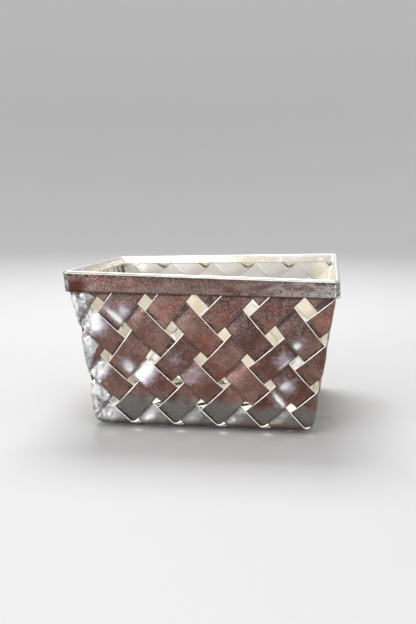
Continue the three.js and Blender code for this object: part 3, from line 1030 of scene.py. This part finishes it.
# %% [markdown]
# ## The strips' polish and painted highlights
# Where the hills of rub are high, tarnish first thins to a lavender grey, and then bare silver shows. On the
# front wall that halo and bright core are painted highlights as well. The corners of the basket are polished
# too, the one at the front left most of all, where the bright silver is partly a painted reflection.

# %% Strip material: polish and painted highlights
fine_clouds = cloud(own_place, 2.0, 4.0, 0.34, 0.66)
rub_and_highlight_mask = rub_and_highlight + (fine_clouds - 0.5) * ramp(rub_and_highlight, 0.9, 0.1, 0.0, 0.22)
highlight_halo = paint(LAVENDER_GREY, (painted_reflection_near_base, PALE_STEEL))
# rub and painted highlight: a lavender halo, then a bright core
tone = paint(tone, (ramp(rub_and_highlight_mask, 0.05, 0.62), highlight_halo), (ramp(rub_and_highlight_mask, 0.40, 0.90), BRIGHT))
# the front left corner gets the most polish, and its bright silver is partly a painted reflection
corner_limit = ramp(x, 45, -45, 1.10, 0.865)
in_corner = near_corner(x, y) - corner_limit + cloud(own_place, 7.0, 2.0, 0.30, 0.70) * 0.13
in_corner = ramp(in_corner, 0.035, 0.11)
tone = paint(tone, (in_corner, use_group(polished_and_reflecting, Place=own_place, Spots=0.7)["Color"]))

# %% [markdown]
# ## The strips' grime and painted shade
# Dirt stays where no cloth reaches: in a thin line along every edge that meets a neighbour, and in a wider,
# speckled patch at the lower end of each face. It is drawn over the polish, because it is what a
# polishing cloth leaves behind. Painted shade goes in with it: a dark band along both long sides of each
# strip, a painted shadow under the rim, and darker paint towards the base edge.

# %% Strip material: grime and painted shade
speckles = cloud(own_place, 1.0, 7.0, 0.42, 0.68) * ramp(rub_and_highlight_mask, 1.0, 0.4, 0.2, 1.0)
wander = cloud(place, 2.5, 4.0, 0.3, 0.7) * 0.06 - 0.03
thin_line = ramp(over + wander, -0.14, -0.32, 0.0, 0.85)
low_patch = ramp(over, 0.30, -0.20) * ramp(up, -0.16, -0.38) * speckles
# painted shade: dark bands along both long sides of each strip
painted_shade_low_side = ramp(across + wander, 0.80, 0.94, 0.0, 0.75)
painted_shade_high_side = ramp(across + wander, -0.86, -0.94, 0.0, 0.45)
grime_and_painted_shade = largest(thin_line, low_patch, painted_shade_low_side, painted_shade_high_side)
grime_and_painted_shade = grime_and_painted_shade * cloud(place, 4.0, 5.0, 0.30, 0.50) * ramp(in_corner, 0, 1, 1.0, 0.9)
specks = use_group(pits, Place=own_place, Spacing=0.8, Radius=0.33, Amount=0.22)["Mask"]
specks = specks * ramp(rub_and_highlight_mask, 0.35, 0.0, 0.0, 0.5)
flecks = use_group(pits, Place=place, Spacing=0.7, Radius=0.45, Amount=0.30)["Mask"]
flecks = flecks * ramp(over, 0.40, -0.10) * ramp(up, -0.16, -0.34) * 0.7
# painted shade darker towards the base edge, and a painted shadow just under the rim
painted_shade_below_edge = ramp(z, 6.5, 2.6, 0.0, 0.72)
painted_shadow_under_rim = ramp(z, 65.9, 67.0, 0.0, 0.7)
tone = paint(tone, (grime_and_painted_shade, GRIME_AND_SHADE), (specks, DARK), (flecks, OLIVE), (painted_shade_below_edge, DARK), (painted_shadow_under_rim, GRIME_AND_SHADE))

# %% [markdown]
# ## The strips' edges and inner side
# The cut edges of the sheet are always rubbed. Those that face up get a painted highlight, as if lit from
# above, and those that face down are painted duller, as if in shade. The inner side never had any patina:
# it is pale and creamy.

# %% Strip material: edges and inner side
# rubbed edges: a painted highlight on those facing up, painted shade on those facing down
worn_high_edge_painted_highlight = ramp(across, -0.935, -0.960)
worn_low_edge_in_painted_shade = ramp(across, 0.955, 0.98)
edge_tone = paint(CREAM, (cloud(place, 7.0, 4.0, 0.3, 0.5), BRIGHT))
tone = paint(tone, (worn_low_edge_in_painted_shade * 0.9, OLD_IVORY), (worn_high_edge_painted_highlight, edge_tone))
back_top = ramp(z, 46, 62) * ramp(y, 40, 56) * ramp(x, 58, 46)
outside = ramp(skin, -0.3, 0.1)
tone = paint(inner_side(place), (back_top, SHADED_SILVER), (outside, tone))

# %% [markdown]
# ## The strips' shine and relief
# Bare silver is nearly a mirror, patina is duller, and grime is the dullest, so the same masks steer the
# roughness, and the painted shade drawn with the grime is as dull as grime there. The relief adds what the
# mesh is too coarse for: the last of the pillow's roundness, a hollow or a hump across each strip, soft dents
# and a fine grain.

# %% Strip material: shine and relief
PILLOW_HEIGHT = 0.30
HOLLOW_HEIGHT = 0.22
DENT_HEIGHT = 0.55
GRAIN_HEIGHT = 0.025
CRUMPLE_HEIGHT = 0.55
STRIP_ROUGHNESS = 0.24
POLISH_SMOOTHS = 0.13
INNER_SIDE_ROUGHENS = 0.20
STRIP_COAT_ROUGHNESS = 0.10
dirt_and_shade = grime_and_painted_shade * outside
shiny = largest(in_corner, ramp(rub_and_highlight_mask, 0.3, 0.9))
rough = made["Dark Clouds"] * DARK_ROUGHENS - shiny * POLISH_SMOOTHS + dirt_and_shade * DIRT_ROUGHENS
rough = rough + (1.0 - outside) * INNER_SIDE_ROUGHENS + STRIP_ROUGHNESS
hollow = across * across * (shade - 0.3) * HOLLOW_HEIGHT
dimples = noise(own_place, 0.16, 1.5) * DENT_HEIGHT + noise(place, 1.8, 4.0) * GRAIN_HEIGHT
crumples = noise(own_place, 0.22, 0.0) * in_corner * CRUMPLE_HEIGHT
relief = (over * PILLOW_HEIGHT + lift + hollow + dimples + crumples) * outside
end_material(shader, tone, dirt_and_shade, rough, STRIP_COAT_ROUGHNESS, relief)
for strip in strips:
    strip.data.materials.append(strip_material)
print("strip material nodes:", len(tree.nodes))

# %% [markdown]
# ## The rim's patina
# The rim was rolled and then rubbed lengthwise, so its patina is drawn out round the basket. We give it a
# flat map of its own: the distance round, squeezed, and the distance down, both from the attributes of
# the mesh. Copper-coloured patches lie over the brown, and the right side is greyer. The front's two ends
# differ: dark red painted shade at the left, pale steel at the right. The corners are bare, and their cool
# silver at the left and cream at the right are painted reflections.

# %% Rim material: patina
ROUND_SQUEEZE = 0.55
DOWN_STRETCH = 1.2
rim_material, tree, shader, place = start_material("rim_silver")
below_top, skin, around_rim = read(tree, "below_top", "skin", "around")
x, y, _ = split(place)
flat_map = combined(around_rim * ROUND_SQUEEZE, below_top * DOWN_STRETCH, skin)
made = use_group(patina, Place=flat_map, Redness=0.6, Mauveness=0.85, Grain=0.9, Light=0.70)
copper_patches = cloud(flat_map, 3.5, 4.0, 0.54, 0.68) * ramp(x, 15, -30, 0.15, 0.5)
copper_patches = copper_patches * ramp(below_top, 6.5, 2.5)
greyer = ramp(x, 5, 52, 0.20, 0.95) * cloud(flat_map, 3.0, 9.0, 0.30, 0.62)
on_front = ramp(y, -50, -58)
# painted shade: dark red at the front's left end
painted_shade_left_end = on_front * ramp(x, -50, -56) * ramp(below_top, 1.5, 5.0)
right_end = on_front * ramp(x, 44, 58) * ramp(below_top, 1.0, 3.5, 0.0, 0.75)
right_end = right_end * cloud(flat_map, 1.2, 8.0, 0.40, 0.60)
bare = ramp(near_corner(x, y) + cloud(place, 9.0, 3.0, 0.3, 0.7) * 0.02, 0.965, 0.985)
# painted reflections on the bare corners: cool silver at the left, cream at the right
painted_reflection_tone = paint(COOL_SILVER, (ramp(x, -20, 20), CREAM))
bare_tone = paint(STEEL_GREY, (cloud(flat_map, 2.0, 4.0, 0.38, 0.56), painted_reflection_tone))
tone = paint(made["Color"], (copper_patches, COPPER), (greyer, WARM_GREY), (painted_shade_left_end, DARK_RED))
tone = paint(tone, (right_end, PALE_STEEL), (bare * 0.9, bare_tone))

# %% [markdown]
# ## The rim's grime, painted shade and bright fold
# Black pits sit in a row just under the fold, where the polishing cloth slides over them. The fold itself is
# worn to clean silver, a little rougher than the rest, so that it gathers light from a wide angle into one
# bright line. A dark line of painted shade lies along the lower edge.

# %% Rim material: grime, painted shade and bright fold
FOLD_LINE = 1.12
top_pits = cloud(flat_map, 0.9, 6.0, 0.44, 0.56) * cloud(flat_map, 6.0, 2.0, 0.32, 0.48)
top_pits = top_pits * ramp(below_top, 3.9, 1.7)
body_pits = use_group(pits, Place=place, Spacing=0.85, Radius=0.50, Amount=0.40)["Mask"]
stains = cloud(flat_map, 0.8, 9.0, 0.54, 0.66)
# painted shade along the rim's lower edge
painted_shade_low_line = ramp(below_top, 7.9, 8.2, 0.0, 0.8)
dirt_and_painted_shade = largest(top_pits, body_pits * 0.8, stains * 0.75, painted_shade_low_line)
wavy_top = below_top + cloud(flat_map, 6.0, 3.0, 0.3, 0.7) * 0.12
bright_fold = ramp(wavy_top, FOLD_LINE + 0.20, FOLD_LINE + 0.05)
fold_tone = paint(BRIGHT, (ramp(x, 10, -45, 0.0, 0.75), OLD_IVORY))
outside = ramp(skin, -0.5, 0.2)
tone = paint(tone, (dirt_and_painted_shade, GRIME_AND_SHADE), (bright_fold, fold_tone))

# %% Rim material: shine and relief
RIM_DENT_HEIGHT = 0.15
RIM_ROUGHNESS = 0.26
FOLD_ROUGHENS = 0.16
RIM_COAT_ROUGHNESS = 0.12
unrubbed = outside * (1.0 - bright_fold)
dirt_and_shade = dirt_and_painted_shade * unrubbed
rough = made["Dark Clouds"] * DARK_ROUGHENS + dirt_and_shade * DIRT_ROUGHENS + bright_fold * FOLD_ROUGHENS
rough = rough + RIM_ROUGHNESS
relief = (noise(place, 0.15, 2.0) * RIM_DENT_HEIGHT + noise(flat_map, 2.2, 5.0) * GRAIN_HEIGHT) * unrubbed
tone = paint(inner_side(place), (outside, tone))
end_material(shader, tone, dirt_and_shade, rough, RIM_COAT_ROUGHNESS, relief)
rim.data.materials.append(rim_material)
print("rim material nodes:", len(tree.nodes))

# %% [markdown]
# ## A bowl for a floor
# A flat floor ends in a horizon, and metal mirrors that line. Photographers sweep a sheet of paper up behind
# the object instead. We do it all round, so that every side view gets it too: a disc, a quarter circle up and
# a short wall, turned round the upright axis as a pale bowl. It is open above, where the light comes in.

# %% Floor
FLOOR_RADIUS = 1.0
SWEEP_RADIUS = 0.5
WALL_HEIGHT = 0.5
CENTRE_RADIUS = 0.01
STEPS_ROUND = 96
SWEEP_STEPS = 24


def bowl():
    """Rings of the bowl: radius and height follow the disc's edge, then a quarter circle, then the wall."""
    turn = np.linspace(0, math.pi / 2, SWEEP_STEPS)
    sweep = FLOOR_RADIUS + SWEEP_RADIUS * np.sin(turn)
    radius = np.concatenate([[CENTRE_RADIUS], sweep, sweep[-1:]])
    height = np.concatenate([[0], SWEEP_RADIUS * (1 - np.cos(turn)), [SWEEP_RADIUS + WALL_HEIGHT]])
    angle = np.linspace(0, 2 * math.pi, STEPS_ROUND, endpoint=False)
    ring = np.stack([np.cos(angle), np.sin(angle)], -1)
    plan = radius[:, None, None] * ring
    return np.concatenate([plan, np.broadcast_to(height[:, None, None], plan.shape[:2] + (1,))], -1)


floor = tube_mesh("floor", bowl() / MM, {}, last_lid=False)
print("floor box in m:", [round(side, 2) for side in floor.dimensions])

# %% Floor material
FLOOR_GREY = 0.82
floor_material = bpy.data.materials.new("floor")
floor_material.use_nodes = True
floor_shader = floor_material.node_tree.nodes["Principled BSDF"]
fill(floor_shader, {"Base Color": (FLOOR_GREY, FLOOR_GREY, FLOOR_GREY, 1), "Roughness": 0.7})
floor.data.materials.append(floor_material)

# %% [markdown]
# ## Light
# Metal mirrors what is around it, so the lamps are large soft boxes. The walls lean out and mirror the floor,
# and only the hollows and the upper ends of the pillows are tilted enough to mirror a low lamp. So one box
# stands low at the front left, and a smaller one at the front right. The box above and behind lights the
# inside and puts the shadow in front, as in a room lit by a window. A faint wide panel high in front lights
# the inside of the back wall, and an even grey world fills the rest.

# %% Light
WORLD_STRENGTH = 0.39
LAMP_AIM = Vector((0, 0, 0.04))
world = bpy.data.worlds.new("studio")
world.use_nodes = True
fill(world.node_tree.nodes["Background"], {"Color": (1, 1, 1, 1), "Strength": WORLD_STRENGTH})
bpy.context.scene.world = world


def soft_box(name, place, size, power):
    """A rectangular lamp that faces the basket. Place and size are in metres, power is in watts."""
    data = bpy.data.lights.new(name, "AREA")
    data.shape = "RECTANGLE"
    data.size, data.size_y = size
    data.energy = power
    lamp = bpy.data.objects.new(name, data)
    lamp.location = place
    lamp.rotation_euler = (LAMP_AIM - lamp.location).to_track_quat("-Z", "Y").to_euler()
    bpy.context.scene.collection.objects.link(lamp)


soft_box("left_light", (-0.52, -0.76, 0.24), (0.60, 0.42), 4.1)
soft_box("right_light", (0.40, -0.75, 0.20), (0.24, 0.30), 1.15)
soft_box("top_light", (-0.10, 0.42, 0.80), (0.45, 0.45), 5.1)
soft_box("front_light", (0.0, -0.95, 0.68), (1.3, 0.6), 1.0)

bpy.context.scene.view_settings.view_transform = "Standard"
print("lamps in W:", [(lamp.name, round(lamp.energy, 2)) for lamp in bpy.data.lights])
